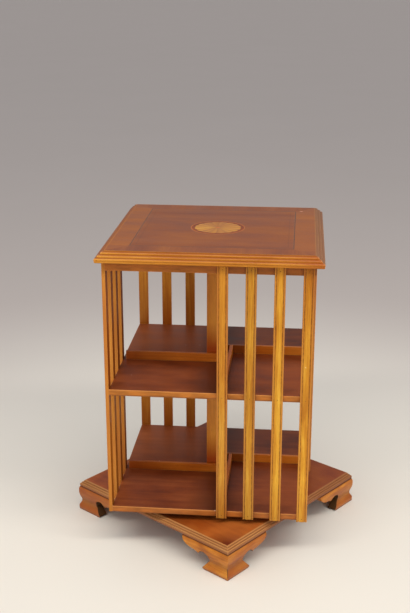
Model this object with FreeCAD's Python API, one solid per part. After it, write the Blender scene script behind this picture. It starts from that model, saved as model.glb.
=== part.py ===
"""Revolving bookcase: a slatted two-tier case that turns on a square base with ogee bracket feet.

Millimetres, +Z up. The origin is on the spindle's axis, at the floor. The case stands square to
X and Y, with its front towards -Y, and the base stands turned under it.
"""
import FreeCAD, Part

import math
import os

V = FreeCAD.Vector
UP = V(0, 0, 1)
ORIGIN = V(0, 0, 0)

# Base
BASE_WIDTH = 475.0  # across the edge moulding
BASE_TURN = -36.2  # degrees that the base stands turned under the case
BASE_BOARD_THICKNESS = 15.5
BASE_MOULDING_WIDTH = 10.5
BASE_MOULDING_EDGE = 4.5  # height of the square edge under the reeds
BASE_REEDS = 3
REED_BULGE = 0.9
BASE_MOULDING_ROUND = 1.2

# Bracket feet
FOOT_HEIGHT = 62.0
BRACKET_THICKNESS = 19.0
OGEE_NECK = 0.5  # how far the top of the bracket stands back from the edge moulding
OGEE_BULGE = 2.4  # how far the swell stands out past the edge moulding
OGEE_WAIST = 2.9  # how far the waist is drawn in behind it
TOE_FLARE = 3.4  # how far the toe flares out past it
BULGE_DROP = 16.5  # from the foot's top to the swell
WAIST_RISE = 22.5  # from the floor to the waist
TOE_RISE = 7.5  # from the floor to the toe's sharp edge
SOLE_SETBACK = 1.6
TOE_ROUND = 4.0  # radius to which the toe's corner is worn
TOE_LENGTH = 68.0  # from the corner along the floor
TOE_POINT = 4.0  # how far the toe's tip reaches past the sole
ANKLE_SETBACK = 13.5  # from the end of the sole back to the ankle
ANKLE_RISE = 24.5
ARCH_LENGTH = 31.5  # from the ankle to the cusp
ARCH_CROWN = 17.5  # from the ankle to the highest point of the arch
ARCH_WEB = 19.0  # wood left over the arch
CUSP_DEPTH = 29.0  # from the foot's top down to the cusp
WING_LENGTH = 47.0  # from the cusp to the wing's end
WING_DEPTH = 17.5  # from the foot's top down to the wing's lower edge
WING_SHOULDER = 11.5  # length over which the wing's end curves up
WING_TIP = 3.5  # how far the curve stops short of the wing's end, half way up
WING_SWELL = 0.5
GLUE_BLOCK_WIDTH = 30.0
GLUE_BLOCK_LIFT = 3.0  # clear of the floor

# Case
SHELF_WIDTH = 440.0
SHELF_THICKNESS = 14.3
SHELF_ARRIS = 1.0
TIER_HEIGHT = 271.5
DECK_THICKNESS = 19.5
SLAT_LET_IN = 3.0  # depth of the notches that hold the slats in the deck
COLUMN_WIDTH = 46.0
COLUMN_CLEARANCE = 2.0  # all round the spindle
JOINERY_CLEARANCE = 0.05

# Slats
SLATS_PER_FACE = 4
SLAT_WIDTH = 23.5
SLAT_THICKNESS = 8.0
SLAT_PITCH = 59.9
SLAT_BEAD = 4.0
SLAT_QUIRK = 1.0
SLAT_CROWN = 0.9
PIN_DIAMETER = 1.8
PIN_LENGTH = 20.0
PIN_SINK = 0.3  # how far its head is punched below the slat's face
PIN_CLEARANCE = 0.05

# Book stops
STOP_HEIGHT = 20.5
STOP_THICKNESS = 8.0
STOP_GAP = 4.0  # from the column, but the back stop stands in line with its side
STOP_INSET = 7.5  # from the slats
STOP_ARRIS = 1.0

# Top
TOP_THICKNESS = 23.5
TOP_OVERHANG = 12.0  # of the lip past the slats' faces
INLAY_DEPTH = 1.0
CROSSBAND_WIDTH = 44.5
STRINGING_WIDTH = 2.0
PATERA_DIAMETER = 122.0

# Top's edge moulding, from the inlaid field out
TOP_FILLET = 1.6  # flat margin round the field
TOP_STEP = 1.2  # drop in front of each rounded member
TOP_QUIRK = 0.8  # flat at the foot of each drop
OVOLOS = 2
OVOLO_WIDTH = 5.8
OVOLO_FALL = 4.2
LIP_WIDTH = 4.9
LIP_UNDER = 6.3  # height of the lip's lower part, under its widest line
LIP_QUIRK = 0.7
LIP_CHAMFER = 1.6

# Spindle and thrust bearing
SPINDLE_DIAMETER = 16.0
FLANGE_DIAMETER = 120.0
FLANGE_THICKNESS = 4.0
FLANGE_MARGIN = 11.0  # from a screw's axis to the flange's rim
RACE_DIAMETER = 78.0
RACE_THICKNESS = 3.2
TRACK_DEPTH = 1.2  # of the groove in each race
BALL_DIAMETER = 6.35
BALL_COUNT = 16
BALL_CLEARANCE = 0.1
TRACK_EASE = 0.2  # how much wider the groove's radius is than the ball's
CAGE_THICKNESS = 2.0
CAGE_RIM = 2.4  # width of cage left on each side of a ball
CAGE_POCKET_CLEARANCE = 0.25
BUSH_WALL = 3.0
BUSH_FLANGE_WIDTH = 6.0
BUSH_FLANGE_THICKNESS = 2.0
RUNNING_CLEARANCE = 0.05
LOCATING_CLEARANCE = 0.1
END_FLOAT = 0.3  # between the nut and the upper bush
NUT_WALL = 4.0
NUT_HEIGHT = 8.0
NUT_COLLAR_WIDTH = 3.0
NUT_COLLAR_THICKNESS = 1.5
THREAD_END = 2.0  # of spindle standing past the nut
POCKET_CLEARANCE = 4.0  # round the upper bush's flange
POCKET_HEADROOM = 2.0  # over the spindle's end

# Wood screws
SCREW_DIAMETER = 4.2
SCREW_HEAD_DIAMETER = 8.6
SCREW_HEAD_HEIGHT = 2.4
SCREW_CLEARANCE = 0.1
SCREW_GRIP = 10.5  # how far a screw's point goes into the second piece
TOP_SCREW_INSET = 73.0  # from the deck's edges
SCREWS_PER_JOINT = 4

# Diameters that fit round the spindle
bush_diameter = SPINDLE_DIAMETER + 2 * BUSH_WALL
bush_flange_diameter = bush_diameter + 2 * BUSH_FLANGE_WIDTH
bush_bore = SPINDLE_DIAMETER + 2 * RUNNING_CLEARANCE
column_bore = SPINDLE_DIAMETER + 2 * COLUMN_CLEARANCE
nut_across_flats = SPINDLE_DIAMETER + 2 * NUT_WALL
nut_collar_diameter = nut_across_flats + 2 * NUT_COLLAR_WIDTH

# Heights
base_under = FOOT_HEIGHT
base_top = base_under + BASE_BOARD_THICKNESS
lower_race_seat = base_top + FLANGE_THICKNESS
lower_track_face = lower_race_seat + RACE_THICKNESS
upper_track_face = lower_track_face + BALL_DIAMETER + 2 * (BALL_CLEARANCE - TRACK_DEPTH)
ball_level = (lower_track_face + upper_track_face) / 2
case_bottom = upper_track_face + RACE_THICKNESS
lower_shelf_top = case_bottom + SHELF_THICKNESS
middle_shelf_under = lower_shelf_top + TIER_HEIGHT
middle_shelf_top = middle_shelf_under + SHELF_THICKNESS
deck_under = middle_shelf_top + TIER_HEIGHT
deck_top = deck_under + DECK_THICKNESS
inlay_seat = deck_top + TOP_THICKNESS - INLAY_DEPTH
top_surface = deck_top + TOP_THICKNESS
nut_seat = deck_top + BUSH_FLANGE_THICKNESS + END_FLOAT
spindle_end = nut_seat + NUT_COLLAR_THICKNESS + NUT_HEIGHT + THREAD_END
pocket_top = spindle_end + POCKET_HEADROOM

# Distances from the spindle's axis
base_half = BASE_WIDTH / 2
base_field_half = base_half - BASE_MOULDING_WIDTH
shelf_half = SHELF_WIDTH / 2
slat_face = shelf_half + SLAT_THICKNESS
deck_half = shelf_half + SLAT_LET_IN
lip_half = slat_face + TOP_OVERHANG
top_moulding_width = TOP_FILLET + OVOLOS * (TOP_QUIRK + OVOLO_WIDTH) + TOP_QUIRK + LIP_WIDTH
top_field_half = lip_half - top_moulding_width
crossband_inner_half = top_field_half - CROSSBAND_WIDTH
stringing_inner_half = crossband_inner_half - STRINGING_WIDTH
stop_near = COLUMN_WIDTH / 2 + STOP_GAP
stop_far = stop_near + STOP_THICKNESS
race_bore_radius = bush_flange_diameter / 2 + LOCATING_CLEARANCE
track_radius = (race_bore_radius + RACE_DIAMETER / 2) / 2
flange_screw_radius = FLANGE_DIAMETER / 2 - FLANGE_MARGIN
top_screw_place = deck_half - TOP_SCREW_INSET
slat_places = [
    shelf_half - SLAT_WIDTH / 2 - SLAT_PITCH * (SLATS_PER_FACE - 1 - k)
    for k in range(SLATS_PER_FACE)
]

# Lengths along a foot's bracket, back from the corner of the edge moulding
ankle_length = TOE_LENGTH - ANKLE_SETBACK
cusp_length = ankle_length + ARCH_LENGTH
bracket_length = cusp_length + WING_LENGTH

# Screws
flange_screw_length = FLANGE_THICKNESS + SCREW_GRIP
top_screw_length = DECK_THICKNESS + SCREW_GRIP

FACES = {"front": 0, "right": 90, "back": 180, "left": 270}
TIERS = {"lower": lower_shelf_top, "upper": middle_shelf_top}


# Shape helpers

def box(x, y, z):
    """Block between the two values of each pair."""
    return Part.makeBox(x[1] - x[0], y[1] - y[0], z[1] - z[0], V(x[0], y[0], z[0]))


def square_board(half, z):
    return box((-half, half), (-half, half), z)


def cylinder(diameter, z, x=0.0):
    return Part.makeCylinder(diameter / 2, z[1] - z[0], V(x, 0, z[0]))


def ring(outer, inner, z):
    return cylinder(outer, z).cut(cylinder(inner, z))


def turned(shape, degrees):
    """Copy turned about the spindle's axis."""
    copy = shape.copy()
    copy.rotate(ORIGIN, UP, degrees)
    return copy


def raised(shape, height):
    copy = shape.copy()
    copy.translate(V(0, 0, height))
    return copy


def outline_face(place, start, steps):
    """Face inside a closed outline. A step of one point is a line, of two an arc, of more a curve."""
    edges = []
    here = place(*start)
    for step in steps:
        points = [place(*p) for p in step]
        if len(points) == 1:
            edge = Part.LineSegment(here, points[0])
        elif len(points) == 2:
            edge = Part.Arc(here, points[0], points[1])
        else:
            edge = Part.BSplineCurve()
            edge.interpolate([here] + points)
        edges.append(edge.toShape())
        here = points[-1]
    edges.append(Part.LineSegment(here, place(*start)).toShape())
    return Part.Face(Part.Wire(edges))


def halfway(start, end):
    return ((start[0] + end[0]) / 2, (start[1] + end[1]) / 2)


def front_section(out, z):
    """Point of a section that runs out towards the front."""
    return V(0, -out, z)


def quarter_round(start, width, fall):
    """Step of an outline: an arc that starts level and falls as it goes out."""
    lean = math.sqrt(1 / 2)
    middle = (start[0] + width * lean, start[1] - fall * (1 - lean))
    return (middle, (start[0] + width, start[1] - fall))


def front_wedge(z):
    """Quarter of the plan that lies in front, bounded by the two mitre planes."""
    reach = 2 * max(base_half, lip_half)
    corners = [V(0, 0, z[0]), V(-reach, -reach, z[0]), V(reach, -reach, z[0])]
    plan = Part.Face(Part.makePolygon(corners + corners[:1]))
    return plan.extrude(V(0, 0, z[1] - z[0]))


def mitred_strip(section, half_length, z):
    """Front strip of a frame: the section run from side to side and mitred at both ends."""
    strip = section.extrude(V(2 * half_length, 0, 0))
    strip.translate(V(-half_length, 0, 0))
    return strip.common(front_wedge(z))


def countersunk_screw(length):
    """Wood screw that points down, with the top of its head at the origin."""
    head = Part.makeCone(
        SCREW_DIAMETER / 2, SCREW_HEAD_DIAMETER / 2, SCREW_HEAD_HEIGHT, V(0, 0, -SCREW_HEAD_HEIGHT)
    )
    shank = cylinder(SCREW_DIAMETER, (-length, -SCREW_HEAD_HEIGHT))
    return head.fuse(shank).removeSplitter()


def screw_hole(length):
    """What a countersunk screw needs cut away, head up at the origin."""
    ease = 2 * SCREW_CLEARANCE
    head = Part.makeCone(
        (SCREW_DIAMETER + ease) / 2,
        (SCREW_HEAD_DIAMETER + ease) / 2,
        SCREW_HEAD_HEIGHT,
        V(0, 0, -SCREW_HEAD_HEIGHT),
    )
    return head.fuse(cylinder(SCREW_DIAMETER + ease, (-length, -SCREW_HEAD_HEIGHT)))


# Base

def base_board():
    board = square_board(base_field_half, (base_under, base_top))
    return board.cut(flange_screw_set(screw_hole(flange_screw_length)))


def base_moulding():
    """Front strip of the base's edge: small reeds stepping down to a square edge."""
    reed_width = BASE_MOULDING_WIDTH / BASE_REEDS
    reed_fall = (BASE_BOARD_THICKNESS - BASE_MOULDING_EDGE) / BASE_REEDS
    steps = []
    for k in range(BASE_REEDS):
        middle = (
            base_field_half + reed_width * (k + 0.5) + REED_BULGE,
            base_top - reed_fall * (k + 0.5) + REED_BULGE,
        )
        end = (base_field_half + reed_width * (k + 1), base_top - reed_fall * (k + 1))
        steps.append((middle, end))
    steps += [
        ((base_half, base_under + BASE_MOULDING_ROUND),),
        ((base_half - BASE_MOULDING_ROUND, base_under),),
        ((base_field_half, base_under),),
    ]
    section = outline_face(front_section, (base_field_half, base_top), steps)
    return mitred_strip(section, base_half + REED_BULGE, (base_under, base_top + REED_BULGE))


def ogee_section():
    """Section of a foot's bracket: swell over a drawn-in waist and a flared toe."""
    back = base_half - BRACKET_THICKNESS
    neck = (base_half - OGEE_NECK, FOOT_HEIGHT)
    swell = (base_half + OGEE_BULGE, FOOT_HEIGHT - BULGE_DROP)
    waist = (base_half - OGEE_WAIST, WAIST_RISE)
    toe = (base_half + TOE_FLARE, TOE_RISE)
    sole = (base_half + TOE_FLARE - SOLE_SETBACK, 0)
    curve = (swell, halfway(swell, waist), waist, halfway(waist, toe), toe)
    steps = [curve, (sole,), ((back, 0),), ((back, FOOT_HEIGHT),)]
    return outline_face(front_section, neck, steps)


def bracket_outline(depth):
    """Block with the shape of a bracket seen square on, its corner to the right, cut from the front.

    Lengths run back from the corner of the edge moulding.
    """
    past_corner = -BRACKET_THICKNESS
    arch_height = FOOT_HEIGHT - ARCH_WEB
    cusp = (cusp_length, FOOT_HEIGHT - CUSP_DEPTH)
    shoulder = (bracket_length - WING_SHOULDER, FOOT_HEIGHT - WING_DEPTH)
    half_way = halfway(cusp, shoulder)

    def along(length, z):
        return V(base_half - length, -depth[1], z)

    wing_curve = (
        (half_way[0], half_way[1] + WING_SWELL),
        shoulder,
        (bracket_length - WING_TIP, FOOT_HEIGHT - (WING_DEPTH + WING_TIP) / 2),
        (bracket_length, FOOT_HEIGHT),
    )
    steps = [
        ((TOE_LENGTH, 0),),
        ((TOE_LENGTH + TOE_POINT, TOE_RISE / 2),),
        ((ankle_length, ANKLE_RISE),),
        ((ankle_length + ARCH_CROWN, arch_height), cusp),
        wing_curve,
        ((past_corner, FOOT_HEIGHT),),
        ((past_corner, 0),),
    ]
    return outline_face(along, (past_corner / 2, 0), steps).extrude(V(0, depth[1] - depth[0], 0))


def foot_bracket():
    """Left bracket of the front foot, before the base is turned."""
    back = base_half - BRACKET_THICKNESS
    front = base_half + BRACKET_THICKNESS
    strip = mitred_strip(ogee_section(), front, (0, FOOT_HEIGHT))
    worn = square_board(base_half + TOE_FLARE, (0, FOOT_HEIGHT))
    corners = [e for e in worn.Edges if e.Vertexes[0].Z != e.Vertexes[1].Z]
    worn = worn.makeFillet(TOE_ROUND, corners)
    return strip.common(bracket_outline((back, front))).common(worn)


def mirrored_bracket(bracket):
    """The bracket on the corner's other side."""
    return bracket.mirror(ORIGIN, V(1, 1, 0))


def glue_blocks():
    near = base_half - BRACKET_THICKNESS - GLUE_BLOCK_WIDTH
    far = base_half - BRACKET_THICKNESS
    block = box((near, far), (-far, -near), (GLUE_BLOCK_LIFT, FOOT_HEIGHT))
    return [turned(block, angle) for angle in FACES.values()]


# Spindle and bearing

def flange_screw_set(shape):
    """Copies of a screw, or of its hole, round the flange, head flush with the flange's top."""
    placed = raised(shape, lower_race_seat)
    placed.translate(V(flange_screw_radius, 0, 0))
    step = 360 / SCREWS_PER_JOINT
    return [turned(placed, step * (k + 0.5)) for k in range(SCREWS_PER_JOINT)]


def spindle():
    """Steel rod welded into a round flange, with a boss that centres the lower race."""
    flange = cylinder(FLANGE_DIAMETER, (base_top, lower_race_seat))
    boss = cylinder(bush_flange_diameter, (lower_race_seat, lower_race_seat + BUSH_FLANGE_THICKNESS))
    rod = cylinder(SPINDLE_DIAMETER, (base_top, spindle_end))
    welded = flange.fuse([boss, rod]).removeSplitter()
    return welded.cut(flange_screw_set(screw_hole(flange_screw_length)))


def track_groove():
    """Ring of round section that the balls run in."""
    return Part.makeTorus(track_radius, BALL_DIAMETER / 2 + TRACK_EASE, V(0, 0, ball_level))


def bearing_race(z):
    """Flat washer with the ball track cut into the face towards the balls."""
    limit = (lower_track_face - TRACK_DEPTH, upper_track_face + TRACK_DEPTH)
    groove = track_groove().common(ring(2 * RACE_DIAMETER, SPINDLE_DIAMETER, limit))
    return ring(RACE_DIAMETER, 2 * race_bore_radius, z).cut(groove)


def bearing_balls():
    ball = Part.makeSphere(BALL_DIAMETER / 2, V(track_radius, 0, ball_level))
    return [turned(ball, 360 / BALL_COUNT * k) for k in range(BALL_COUNT)]


def bearing_cage():
    """Flat ring with a round pocket for each ball."""
    rim = BALL_DIAMETER / 2 + CAGE_RIM
    z = (ball_level - CAGE_THICKNESS / 2, ball_level + CAGE_THICKNESS / 2)
    cage = ring(2 * (track_radius + rim), 2 * (track_radius - rim), z)
    pocket = cylinder(BALL_DIAMETER + 2 * CAGE_POCKET_CLEARANCE, z, x=track_radius)
    return cage.cut([turned(pocket, 360 / BALL_COUNT * k) for k in range(BALL_COUNT)])


def flanged_bush(z, flange_z):
    body = cylinder(bush_diameter, z)
    flange = cylinder(bush_flange_diameter, flange_z)
    bore = cylinder(bush_bore, (min(z + flange_z), max(z + flange_z)))
    return body.fuse(flange).removeSplitter().cut(bore)


def spindle_bushes():
    """The lower bush's flange centres the upper race, and the upper bush's flange carries the nut."""
    lower = flanged_bush(
        (case_bottom, lower_shelf_top), (case_bottom - BUSH_FLANGE_THICKNESS, case_bottom)
    )
    upper = flanged_bush((deck_under, deck_top), (deck_top, deck_top + BUSH_FLANGE_THICKNESS))
    return [lower, upper]


def spindle_nut():
    """Hexagon lock nut with a round collar."""
    radius = nut_across_flats / math.sqrt(3)
    angles = [math.radians(60 * k) for k in range(7)]
    collar_top = nut_seat + NUT_COLLAR_THICKNESS
    corners = [V(radius * math.cos(a), radius * math.sin(a), collar_top) for a in angles]
    hexagon = Part.Face(Part.makePolygon(corners)).extrude(V(0, 0, NUT_HEIGHT))
    collar = cylinder(nut_collar_diameter, (nut_seat, collar_top))
    bore = cylinder(bush_bore, (nut_seat, collar_top + NUT_HEIGHT))
    return hexagon.fuse(collar).removeSplitter().cut(bore)


# Slats and pins

def pin_levels():
    return [
        (case_bottom + lower_shelf_top) / 2,
        (middle_shelf_under + middle_shelf_top) / 2,
        (deck_under + deck_top) / 2,
    ]


def front_pins(diameter, depth):
    """Pins, or their holes, between two depths behind the faces of the front slats."""
    pins = []
    for x in slat_places:
        for z in pin_levels():
            start = V(x, depth[0] - slat_face, z)
            pins.append(Part.makeCylinder(diameter / 2, depth[1] - depth[0], start, V(0, 1, 0)))
    return pins


def slat_pins():
    pins = front_pins(PIN_DIAMETER, (PIN_SINK, PIN_SINK + PIN_LENGTH))
    return [turned(pin, angle) for angle in FACES.values() for pin in pins]


def front_pin_holes():
    """Holes from in front of the slats to just past the pins' points."""
    depth = (-PIN_SINK, PIN_SINK + PIN_LENGTH + PIN_CLEARANCE)
    return front_pins(PIN_DIAMETER + 2 * PIN_CLEARANCE, depth)


def drilled(board):
    """Board with the pin holes in its four edges."""
    holes = front_pin_holes()
    return board.cut([turned(hole, angle) for angle in FACES.values() for hole in holes])


def slat_section(x):
    """Reeded face: a bead and a quirk on each side of a slightly crowned middle."""
    half = SLAT_WIDTH / 2
    bead_radius = SLAT_BEAD / 2
    spring = slat_face - bead_radius
    crown = slat_face - SLAT_CROWN
    quirk = half - SLAT_BEAD - SLAT_QUIRK

    def place(across, out):
        return V(x + across, -out, case_bottom)

    steps = [
        ((-half, spring),),
        ((-half + bead_radius, slat_face), (-half + SLAT_BEAD, spring)),
        ((-quirk, spring),),
        ((-quirk, crown),),
        ((0, slat_face), (quirk, crown)),
        ((quirk, spring),),
        ((half - SLAT_BEAD, spring),),
        ((half - bead_radius, slat_face), (half, spring)),
        ((half, shelf_half),),
    ]
    return outline_face(place, (-half, shelf_half), steps)


def front_slats():
    """The front's slats, from the one beside the column to the one at the corner."""
    slats = []
    for x in slat_places:
        slat = slat_section(x).extrude(V(0, 0, deck_top - case_bottom))
        slats.append(slat.cut(front_pin_holes()))
    return slats


# Boards of the case

def rounded_board(half, z):
    board = square_board(half, z)
    edges = [e for e in board.Edges if abs(e.Vertexes[0].Z - e.Vertexes[1].Z) < SHELF_ARRIS]
    return board.makeFillet(SHELF_ARRIS, edges)


def lower_shelf():
    board = rounded_board(shelf_half, (case_bottom, lower_shelf_top))
    board = board.cut(cylinder(bush_diameter, (case_bottom, lower_shelf_top)))
    return drilled(board)


def middle_shelf():
    board = rounded_board(shelf_half, (middle_shelf_under, middle_shelf_top))
    hole = COLUMN_WIDTH / 2 + JOINERY_CLEARANCE
    board = board.cut(square_board(hole, (middle_shelf_under, middle_shelf_top)))
    return drilled(board)


def deck():
    """Frieze board under the top, with a notch in its edge for each slat."""
    board = square_board(deck_half, (deck_under, deck_top))
    board = board.cut(cylinder(bush_diameter, (deck_under, deck_top)))
    notches = []
    for x in slat_places:
        is_corner = x + SLAT_WIDTH / 2 >= shelf_half
        end = deck_half if is_corner else x + SLAT_WIDTH / 2
        z = (deck_under, deck_top)
        notches.append(box((x - SLAT_WIDTH / 2, end), (-deck_half, -shelf_half), z))
    board = board.cut([turned(notch, angle) for angle in FACES.values() for notch in notches])
    board = board.cut(top_screw_set(screw_hole(top_screw_length)))
    return drilled(board)


def column():
    outside = square_board(COLUMN_WIDTH / 2, (lower_shelf_top, deck_under))
    return outside.cut(cylinder(column_bore, (lower_shelf_top, deck_under)))


def book_stop(shelf_top, near, inner_end):
    """Low rail that books stand against, from the front slats in, its near side towards the column."""
    z = (shelf_top, shelf_top + STOP_HEIGHT)
    rail = box((near, near + STOP_THICKNESS), (STOP_INSET - shelf_half, inner_end), z)
    long_top_edges = [
        e for e in rail.Edges
        if min(v.Z for v in e.Vertexes) > z[1] - STOP_ARRIS and e.Length > STOP_THICKNESS
    ]
    return rail.makeFillet(STOP_ARRIS, long_top_edges)


# Top

def top_screw_set(shape):
    """Copies of a screw, or of its hole, pointing up through the deck, head flush underneath."""
    upright = shape.copy()
    upright.rotate(ORIGIN, V(1, 0, 0), 180)
    placed = raised(upright, deck_under)
    placed.translate(V(top_screw_place, top_screw_place, 0))
    return [turned(placed, 360 / SCREWS_PER_JOINT * k) for k in range(SCREWS_PER_JOINT)]


def top_board():
    """Board with a pocket under it for the spindle's nut, and recesses on it for the inlay."""
    board = square_board(top_field_half, (deck_top, top_surface))
    z = (inlay_seat, top_surface)
    border = square_board(top_field_half, z).cut(square_board(stringing_inner_half, z))
    patera = cylinder(PATERA_DIAMETER, z)
    pocket = cylinder(bush_flange_diameter + 2 * POCKET_CLEARANCE, (deck_top, pocket_top))
    board = board.cut([border, patera, pocket])
    return board.cut(top_screw_set(screw_hole(top_screw_length)))


def top_moulding():
    """Front strip of the top's edge: a fillet, rounded members parted by quirks, and a bold lip."""
    out = top_field_half + TOP_FILLET
    z = top_surface
    steps = [((out, z),)]
    lip_fall = TOP_THICKNESS - LIP_UNDER - OVOLOS * (TOP_STEP + OVOLO_FALL) - TOP_STEP
    for width, fall in [(OVOLO_WIDTH, OVOLO_FALL)] * OVOLOS + [(LIP_WIDTH, lip_fall)]:
        steps += [((out, z - TOP_STEP),), ((out + TOP_QUIRK, z - TOP_STEP),)]
        steps.append(quarter_round((out + TOP_QUIRK, z - TOP_STEP), width, fall))
        out += TOP_QUIRK + width
        z -= TOP_STEP + fall
    under_lip = out - LIP_QUIRK
    steps += [
        ((under_lip, z - LIP_QUIRK),),
        ((under_lip, deck_top + LIP_CHAMFER),),
        ((under_lip - LIP_CHAMFER, deck_top),),
        ((top_field_half, deck_top),),
    ]
    section = outline_face(front_section, (top_field_half, top_surface), steps)
    return mitred_strip(section, lip_half, (deck_top, top_surface))


def inlaid_strips(inner, outer):
    """Four mitred strips of veneer that frame the square between two distances from the axis."""
    z = (inlay_seat, top_surface)
    strip = box((-outer, outer), (-outer, -inner), z).common(front_wedge(z))
    return [turned(strip, angle) for angle in FACES.values()]


def build():
    """Every node's name with its shape."""
    nodes = {}
    nodes["base_board"] = turned(base_board(), BASE_TURN)
    nodes["foot_glue_blocks"] = turned(Part.makeCompound(glue_blocks()), BASE_TURN)
    moulding = base_moulding()
    left_bracket = foot_bracket()
    right_bracket = mirrored_bracket(left_bracket)
    for name, angle in FACES.items():
        nodes[f"base_moulding_{name}"] = turned(moulding, BASE_TURN + angle)
        nodes[f"foot_{name}_left_bracket"] = turned(left_bracket, BASE_TURN + angle)
        nodes[f"foot_{name}_right_bracket"] = turned(right_bracket, BASE_TURN + angle)

    nodes["spindle"] = turned(spindle(), BASE_TURN)
    screws = flange_screw_set(countersunk_screw(flange_screw_length - SCREW_CLEARANCE))
    nodes["spindle_screws"] = turned(Part.makeCompound(screws), BASE_TURN)
    nodes["spindle_nut"] = spindle_nut()
    nodes["bearing_lower_race"] = bearing_race((lower_race_seat, lower_track_face))
    nodes["bearing_upper_race"] = bearing_race((upper_track_face, case_bottom))
    nodes["bearing_balls"] = Part.makeCompound(bearing_balls())
    nodes["bearing_cage"] = bearing_cage()

    nodes["spindle_bushes"] = Part.makeCompound(spindle_bushes())
    nodes["lower_shelf"] = lower_shelf()
    nodes["middle_shelf"] = middle_shelf()
    nodes["deck"] = deck()
    nodes["column"] = column()
    nodes["slat_pins"] = Part.makeCompound(slat_pins())
    slats = front_slats()
    for name, angle in FACES.items():
        for k, slat in enumerate(slats):
            nodes[f"slat_{name}_{k + 1}"] = turned(slat, angle)
        for tier, shelf_top in TIERS.items():
            if name == "back":
                stop = book_stop(shelf_top, COLUMN_WIDTH / 2 - STOP_THICKNESS, -stop_far)
            else:
                stop = book_stop(shelf_top, stop_near, stop_near)
            nodes[f"book_stop_{tier}_{name}"] = turned(stop, angle)

    nodes["top_board"] = top_board()
    top_screws = top_screw_set(countersunk_screw(top_screw_length - SCREW_CLEARANCE))
    nodes["top_screws"] = Part.makeCompound(top_screws)
    moulding = top_moulding()
    for name, angle in FACES.items():
        nodes[f"top_moulding_{name}"] = turned(moulding, angle)
    nodes["top_crossbands"] = Part.makeCompound(inlaid_strips(crossband_inner_half, top_field_half))
    nodes["top_stringing"] = Part.makeCompound(
        inlaid_strips(stringing_inner_half, crossband_inner_half)
    )
    nodes["top_patera"] = cylinder(PATERA_DIAMETER, (inlay_seat, top_surface))
    return nodes


os.makedirs("parts", exist_ok=True)
for node, shape in build().items():
    shape.exportStep(f"parts/{node}.step")
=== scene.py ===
"""Looks of the revolving bookcase: polished woods, inlay and metal, a studio floor and the camera.

Metres, in the row frame: +Z up along the spindle, the case's front towards -Y.
"""

import math
import random

import bmesh
import bpy
from mathutils import Matrix, Vector

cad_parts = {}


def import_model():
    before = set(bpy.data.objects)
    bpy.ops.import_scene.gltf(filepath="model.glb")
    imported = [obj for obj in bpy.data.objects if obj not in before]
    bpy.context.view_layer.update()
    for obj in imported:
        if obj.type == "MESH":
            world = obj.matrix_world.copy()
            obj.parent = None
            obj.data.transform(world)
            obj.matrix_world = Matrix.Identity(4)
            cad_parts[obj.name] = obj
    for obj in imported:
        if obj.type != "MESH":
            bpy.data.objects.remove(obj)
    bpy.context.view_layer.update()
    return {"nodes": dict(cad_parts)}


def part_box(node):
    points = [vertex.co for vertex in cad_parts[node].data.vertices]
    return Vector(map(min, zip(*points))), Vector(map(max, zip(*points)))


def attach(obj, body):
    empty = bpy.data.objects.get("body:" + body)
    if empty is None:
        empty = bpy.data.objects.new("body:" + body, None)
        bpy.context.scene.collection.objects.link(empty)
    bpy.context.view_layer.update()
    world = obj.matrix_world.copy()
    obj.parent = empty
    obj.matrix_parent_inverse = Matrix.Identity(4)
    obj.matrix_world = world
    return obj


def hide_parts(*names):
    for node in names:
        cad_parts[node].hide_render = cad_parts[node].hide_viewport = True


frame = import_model()

MM = 0.001
X, Y, Z = Vector((1, 0, 0)), Vector((0, 1, 0)), Vector((0, 0, 1))

# The furniture's sizes, as in the CAD
FACES = ["front", "right", "back", "left"]
TIERS = ["lower", "upper"]
BASE_TURN = math.radians(-36.2)
BASE_HALF = 237.5 * MM
BASE_FIELD_HALF = 227.0 * MM
BASE_REEDS = 3
BASE_EDGE_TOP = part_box("base_board")[0].z + 4.5 * MM
FOOT_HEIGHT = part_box("base_board")[0].z
WAIST_RISE = 22.5 * MM
CUSP_LENGTH = 86.0 * MM  # from a foot's corner to the end of its arch
SHELF_TOPS = [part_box(node)[1].z for node in ("lower_shelf", "middle_shelf")]
TIER_HEIGHT = 271.5 * MM
SLATS_PER_FACE = 4
SLAT_WIDTH = 23.5 * MM
SLAT_PITCH = 59.9 * MM
SLAT_OUTER_CENTRE = 208.25 * MM
SLAT_BEAD = 4.0 * MM
TOP_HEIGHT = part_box("top_board")[1].z
INLAY_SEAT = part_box("top_crossbands")[0].z
CROSSBAND_OUTER = 219.5 * MM
CROSSBAND_INNER = 175.0 * MM
SECOND_LINE = 162.0 * MM  # from the axis to the faint line inside the stringing

# Fan inlay
FAN_RADIUS = 52.5 * MM
FAN_RING_RADIUS = 59.6 * MM
PATERA_RADIUS = 61.0 * MM
FAN_BOSS_RADIUS = 5.0 * MM
FAN_PETALS = 16
PETAL_ROUNDING = 0.06  # how far a petal's shoulders fall back, as a share of its length
PETAL_STEPS = 8

# Camera
CAMERA_PLACE = (0.1855, -2.2665, 1.2693)
CAMERA_PITCH = math.radians(18.295)
CAMERA_YAW = math.radians(5.417)
CAMERA_LENS = 60.385  # millimetres, on a frame whose long side is 36

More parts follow.
